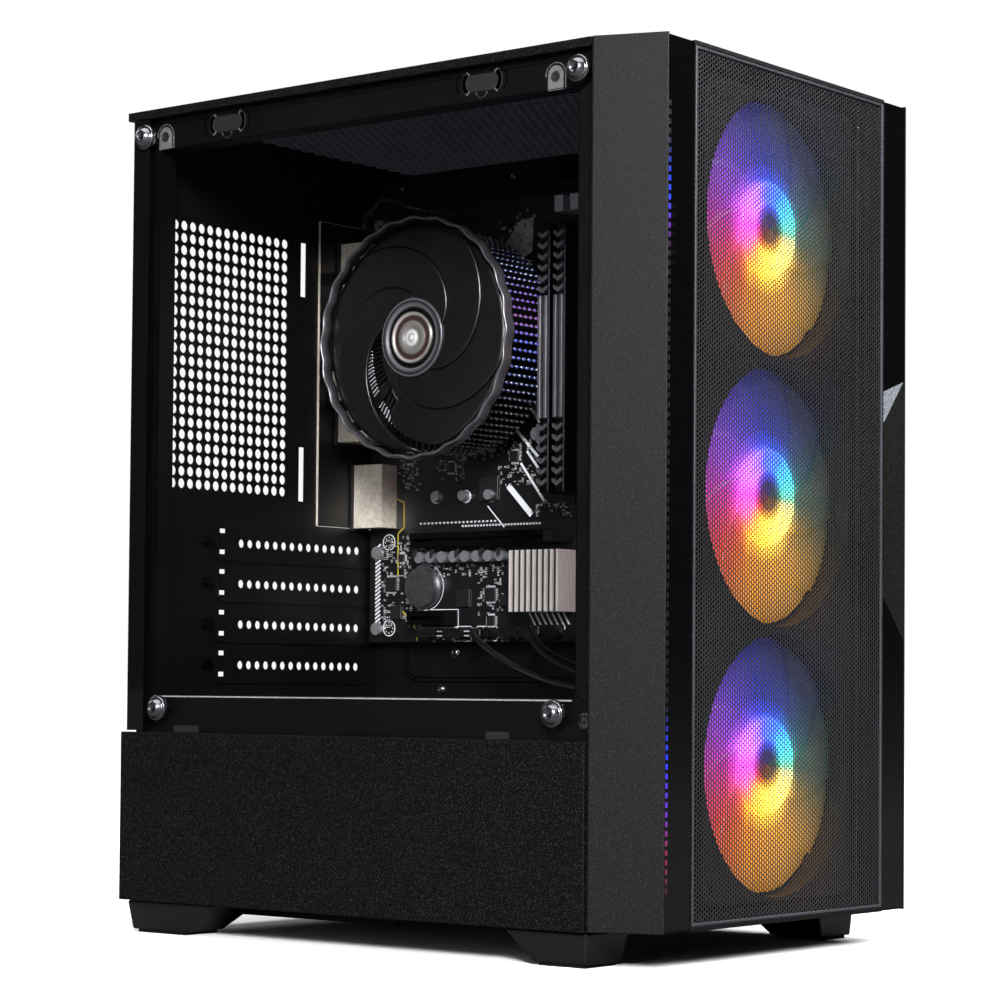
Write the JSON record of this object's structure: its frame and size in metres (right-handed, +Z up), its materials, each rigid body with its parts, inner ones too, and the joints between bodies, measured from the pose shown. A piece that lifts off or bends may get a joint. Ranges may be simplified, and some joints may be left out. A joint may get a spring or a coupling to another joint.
{
  "type": "desktop computer tower",
  "caption": "Compact desktop computer tower: glass-sided steel case with mesh front, lit front fans, board, cooler, memory, power supply and drives, panels that come off.",
  "frame": {"origin": "on the floor, in the middle of the case's footprint", "axes": "+Z up, -Y out of the front mesh, -X out of the glass side"},
  "size_m": [0.2298, 0.312, 0.396],
  "materials": {
    "black_steel": "fine textured black powder coat",
    "bare_steel": "plain zinc plate",
    "black_plastic": "moulded matt black",
    "black_rubber": "matt rubber",
    "drive_metal": "cast and machined",
    "drive_shell": "moulded shell",
    "gloss_black_plastic": "smooth black",
    "filter_mesh": "fine filter mesh",
    "board_laminate": "black solder mask",
    "brass_posts": "turned brass",
    "bare_screws": "nickel plate",
    "socket_metal": "plated steel",
    "grey_plastic": "moulded light grey",
    "memory_cover": "black anodised",
    "heatsink_aluminium": "extruded, clear anodised",
    "component_cans": "can tops and blocks",
    "port_shells": "nickel plated shells",
    "black_aluminium": "black anodised fins",
    "cooler_ring": "smoked ring",
    "bezel_plastic": "grained charcoal",
    "mesh_steel": "perforated, painted",
    "trim_gloss": "gloss black light bars",
    "clear_glass": "clear tempered",
    "black_screws": "black zinc",
    "cable_jacket": "soft jacket",
    "lit_fan_plastic": "translucent, lit from the hub"
  },
  "bodies": {
    "root": {"base_pan": "black_steel", "board_components": "component_cans", "board_connectors": "black_plastic", "board_screws": "bare_screws", "board_standoffs": "brass_posts", "case_screws": "black_screws", "chipset_heatsink": "heatsink_aluminium", "coin_cell": "bare_steel", "cooler_fan_frame": "cooler_ring", "cooler_heatsink": "black_aluminium", "dimm_slots": "black_plastic", "drive_cage": "black_steel", "expansion_slots": "gloss_black_plastic", "feet": "black_plastic", "foot_pads": "black_rubber", "front_fan_frame_1": "black_plastic", "front_fan_frame_2": "black_plastic", "front_fan_frame_3": "black_plastic", "front_panel_cable": "cable_jacket", "front_wall": "black_steel", "hard_drive": "drive_metal", "io_shield": "bare_steel", "left_frame": "black_steel", "memory_modules": "memory_cover", "motherboard": "board_laminate", "motherboard_tray": "black_steel", "power_inlet": "gloss_black_plastic", "processor_socket": "socket_metal", "psu_case": "black_steel", "psu_fan_frame": "black_plastic", "psu_shroud": "black_steel", "rear_io_ports": "port_shells", "rear_panel": "black_steel", "right_frame": "black_steel", "sata_cable": "cable_jacket", "slot_covers": "black_steel", "solid_state_drive": "drive_shell", "top_cover": "black_steel", "top_deck": "black_steel", "top_ports": "port_shells"},
    "front_bezel": {"front_bezel": "bezel_plastic", "front_mesh": "mesh_steel", "bezel_trim": "trim_gloss"},
    "fan_rotor_1": {"front_fan_rotor_1": "lit_fan_plastic"},
    "fan_rotor_2": {"front_fan_rotor_2": "lit_fan_plastic"},
    "fan_rotor_3": {"front_fan_rotor_3": "lit_fan_plastic"},
    "cooler_rotor": {"cooler_fan_rotor": "gloss_black_plastic"},
    "psu_rotor": {"psu_fan_rotor": "black_plastic"},
    "power_button": {"power_button": "gloss_black_plastic"},
    "reset_button": {"reset_button": "gloss_black_plastic"},
    "psu_rocker": {"psu_switch": "gloss_black_plastic"},
    "dimm_latches": {"dimm_latches": "grey_plastic"},
    "slot_latch": {"slot_latch": "black_plastic"},
    "glass_panel": {"side_glass": "clear_glass", "glass_thumbscrews": "black_screws"},
    "lower_cover": {"lower_side_cover": "black_steel"},
    "right_panel": {"right_side_panel": "black_steel", "panel_thumbscrews": "black_screws"},
    "top_filter": {"top_filter": "filter_mesh"},
    "psu_filter": {"psu_dust_filter": "filter_mesh"}
  },
  "joints": [
    {"name": "fan_spin_1", "type": "hinge", "parent": "root", "child": "fan_rotor_1", "pos_m": [0, -0.136, 0.085], "axis": [0, 1, 0], "continuous": true},
    {"name": "fan_spin_2", "type": "hinge", "parent": "root", "child": "fan_rotor_2", "pos_m": [0, -0.136, 0.2055], "axis": [0, 1, 0], "continuous": true},
    {"name": "fan_spin_3", "type": "hinge", "parent": "root", "child": "fan_rotor_3", "pos_m": [0, -0.136, 0.326], "axis": [0, 1, 0], "continuous": true},
    {"name": "cooler_spin", "type": "hinge", "parent": "root", "child": "cooler_rotor", "pos_m": [0.0048, 0.069, 0.292], "axis": [1, 0, 0], "continuous": true},
    {"name": "psu_fan_spin", "type": "hinge", "parent": "root", "child": "psu_rotor", "pos_m": [0, 0.0795, 0.034], "axis": [0, 0, 1], "continuous": true},
    {"name": "power_press", "type": "slide", "parent": "root", "child": "power_button", "axis": [0, 0, -1], "range_m": [0, 0.0016], "stiffness_N_per_m": 500},
    {"name": "reset_press", "type": "slide", "parent": "root", "child": "reset_button", "axis": [0, 0, -1], "range_m": [0, 0.0014], "stiffness_N_per_m": 400},
    {"name": "mains_rocker", "type": "hinge", "parent": "root", "child": "psu_rocker", "pos_m": [0.044, 0.145, 0.087], "axis": [1, 0, 0], "range_deg": [0, 10]},
    {"name": "dimm_latch_swing", "type": "hinge", "parent": "root", "child": "dimm_latches", "pos_m": [0.058, 0.0038, 0.3566], "axis": [0, 1, 0], "range_deg": [0, 25]},
    {"name": "slot_latch_swing", "type": "hinge", "parent": "root", "child": "slot_latch", "pos_m": [0.06, 0.015, 0.1942], "axis": [0, 0, 1], "range_deg": [0, 12]},
    {"name": "front_pull", "type": "slide", "parent": "root", "child": "front_bezel", "axis": [0, -1, 0], "range_m": [0, 0.06]},
    {"name": "glass_pull", "type": "slide", "parent": "root", "child": "glass_panel", "axis": [-1, 0, 0], "range_m": [0, 0.08]},
    {"name": "lower_cover_pull", "type": "slide", "parent": "root", "child": "lower_cover", "axis": [-1, 0, 0], "range_m": [0, 0.06]},
    {"name": "right_panel_slide", "type": "slide", "parent": "root", "child": "right_panel", "axis": [0, 1, 0], "range_m": [0, 0.06]},
    {"name": "top_filter_lift", "type": "slide", "parent": "root", "child": "top_filter", "axis": [0, 0, 1], "range_m": [0, 0.03]},
    {"name": "psu_filter_slide", "type": "slide", "parent": "root", "child": "psu_filter", "axis": [0, 1, 0], "range_m": [0, 0.12]}
  ]
}
